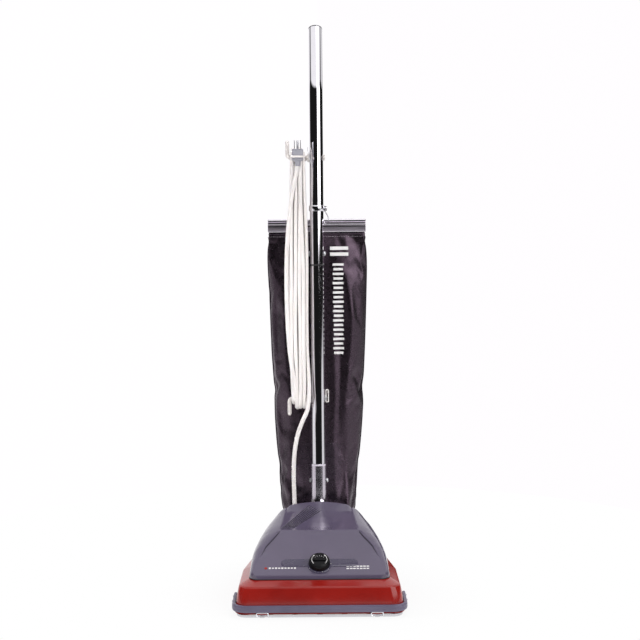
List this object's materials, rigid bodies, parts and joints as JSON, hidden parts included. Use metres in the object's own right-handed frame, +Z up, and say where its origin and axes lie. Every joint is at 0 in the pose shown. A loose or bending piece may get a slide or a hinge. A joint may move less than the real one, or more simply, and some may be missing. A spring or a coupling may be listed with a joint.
{
  "type": "upright vacuum cleaner",
  "caption": "Upright vacuum cleaner with a wide low nozzle, a moulded motor hood, a bent tube handle, a hanging cloth bag and a cord wound on two hooks.",
  "frame": {"origin": "on the floor below the middle of the bounding box", "axes": "+Z up; the nozzle faces -Y and the user stands on the +Y side; +X is to the right as the machine is seen from its nozzle"},
  "size_m": [0.344, 0.3843, 1.1768],
  "materials": {
    "gloss_red": "glossy red enamel",
    "hood_grey": "satin purple-grey",
    "bumper_grey": "soft grey vinyl",
    "fan_grey": "moulded",
    "chrome": "polished",
    "zinc_steel": "zinc plated",
    "black_plastic": "fine satin",
    "bristle_nylon": "stiff nylon",
    "black_rubber": "matt",
    "bag_fabric": "dark coated cloth",
    "cord_vinyl": "cream vinyl",
    "hook_plastic": "cream",
    "brush_wood": "turned and sealed"
  },
  "bodies": {
    "base": {"base_housing": "gloss_red", "bumper_guard": "bumper_grey", "bottom_plate": "chrome", "brush_shaft": "zinc_steel", "brush_bearing_left": "black_plastic", "brush_bearing_right": "black_plastic", "drive_belt": "black_rubber", "hood": "hood_grey", "carriage_pin_left": "zinc_steel", "carriage_pin_right": "zinc_steel", "rear_axle": "zinc_steel", "fan_housing": "black_plastic", "motor_housing": "black_plastic", "motor_cap": "black_plastic", "motor_bearing_front": "zinc_steel", "motor_bearing_rear": "zinc_steel", "motor_stator": "zinc_steel", "carbon_brush_left": "black_plastic", "carbon_brush_right": "black_plastic", "exhaust_duct": "black_plastic", "outlet_neck": "black_plastic", "bag_collar": "black_rubber", "strain_relief": "black_plastic", "pedal_spring": "zinc_steel", "pivot_pin_left": "zinc_steel", "pivot_pin_right": "zinc_steel", "cord_lead": "cord_vinyl"},
    "brush": {"brush_core": "brush_wood", "bristles_left": "bristle_nylon", "bristles_right": "bristle_nylon"},
    "motor": {"motor_armature": "zinc_steel", "suction_fan": "fan_grey"},
    "knob": {"height_knob": "black_plastic"},
    "plunger": {"height_plunger": "zinc_steel"},
    "carriage": {"wheel_carriage": "zinc_steel", "front_axle": "zinc_steel"},
    "front_wheel_left": {"front_wheel_left": "black_rubber"},
    "front_wheel_right": {"front_wheel_right": "black_rubber"},
    "rear_wheel_left": {"rear_wheel_left": "black_rubber"},
    "rear_wheel_right": {"rear_wheel_right": "black_rubber"},
    "release_pedal": {"release_pedal": "black_plastic"},
    "power_pedal": {"power_pedal": "gloss_red"},
    "handle": {"handle_bail": "chrome", "lower_tube": "chrome", "joint_ring": "black_plastic", "upper_tube": "chrome", "grip_cap": "black_plastic", "lower_bolt": "zinc_steel", "upper_bolt": "zinc_steel", "bag_hanger": "zinc_steel", "bag": "bag_fabric", "lower_hook": "hook_plastic", "upper_hook_screw": "zinc_steel", "lower_hook_screw": "zinc_steel", "cord_hank": "cord_vinyl", "cord_plug": "hood_grey"},
    "clamp": {"bag_clamp": "chrome"},
    "cord_release_hook": {"upper_hook": "hook_plastic"},
    "clip_left": {"plate_clip_left": "chrome"},
    "clip_right": {"plate_clip_right": "chrome"}
  },
  "joints": [
    {"name": "handle_tilt", "type": "hinge", "parent": "base", "child": "handle", "pos_m": [0, 0.072, 0.086], "axis": [-1, 0, 0], "range_deg": [0, 75], "deforming": ["bag", "cord_lead"]},
    {"name": "release_pedal_press", "type": "hinge", "parent": "base", "child": "release_pedal", "pos_m": [-0.062, 0.13, 0.07], "axis": [-1, 0, 0], "range_deg": [0, 8], "stiffness_Nm_per_rad": 0.5, "springref_deg": -4.58, "deforming": ["pedal_spring"]},
    {"name": "power_pedal_press", "type": "hinge", "parent": "base", "child": "power_pedal", "pos_m": [0.062, 0.13, 0.07], "axis": [-1, 0, 0], "range_deg": [0, 8], "stiffness_Nm_per_rad": 0.5, "springref_deg": -4.58},
    {"name": "knob_turn", "type": "hinge", "parent": "base", "child": "knob", "pos_m": [0, -0.13, 0.0935], "axis": [0, -0.5299, 0.848], "range_deg": [0, 270]},
    {"name": "plunger_slide", "type": "slide", "parent": "base", "child": "plunger", "axis": [0, 0.5299, -0.848], "range_m": [0, 0.008]},
    {"name": "carriage_tilt", "type": "hinge", "parent": "base", "child": "carriage", "pos_m": [0, -0.015, 0.038], "axis": [1, 0, 0], "range_deg": [0, 4]},
    {"name": "front_wheel_left_spin", "type": "hinge", "parent": "carriage", "child": "front_wheel_left", "pos_m": [-0.096, -0.078, 0.014], "axis": [1, 0, 0], "continuous": true},
    {"name": "front_wheel_right_spin", "type": "hinge", "parent": "carriage", "child": "front_wheel_right", "pos_m": [0.096, -0.078, 0.014], "axis": [1, 0, 0], "continuous": true},
    {"name": "rear_wheel_left_spin", "type": "hinge", "parent": "base", "child": "rear_wheel_left", "pos_m": [-0.1155, 0.128, 0.025], "axis": [1, 0, 0], "continuous": true},
    {"name": "rear_wheel_right_spin", "type": "hinge", "parent": "base", "child": "rear_wheel_right", "pos_m": [0.1155, 0.128, 0.025], "axis": [1, 0, 0], "continuous": true},
    {"name": "motor_spin", "type": "hinge", "parent": "base", "child": "motor", "pos_m": [0, 0.02, 0.085], "axis": [0, 1, 0], "continuous": true},
    {"name": "brush_spin", "type": "hinge", "parent": "base", "child": "brush", "pos_m": [0, -0.142, 0.0265], "axis": [1, 0, 0], "continuous": true},
    {"name": "clamp_slide", "type": "slide", "parent": "handle", "child": "clamp", "axis": [1, 0, 0], "range_m": [0, 0.21]},
    {"name": "upper_hook_turn", "type": "hinge", "parent": "handle", "child": "cord_release_hook", "pos_m": [0, 0.11455, 0.89789], "axis": [1, 0, 0], "range_deg": [0, 180]},
    {"name": "plate_clip_left_turn", "type": "hinge", "parent": "base", "child": "clip_left", "pos_m": [-0.112, -0.1868, 0.0053], "axis": [1, 0, 0], "range_deg": [0, 90]},
    {"name": "plate_clip_right_turn", "type": "hinge", "parent": "base", "child": "clip_right", "pos_m": [0.112, -0.1868, 0.0053], "axis": [1, 0, 0], "range_deg": [0, 90]}
  ],
  "couplings": [
    {"joint": "plunger_slide", "follows": "knob_turn", "m_per_rad": 0.00169},
    {"joint": "carriage_tilt", "follows": "knob_turn", "ratio": 0.0148},
    {"joint": "brush_spin", "follows": "motor_spin", "ratio": -0.448}
  ]
}
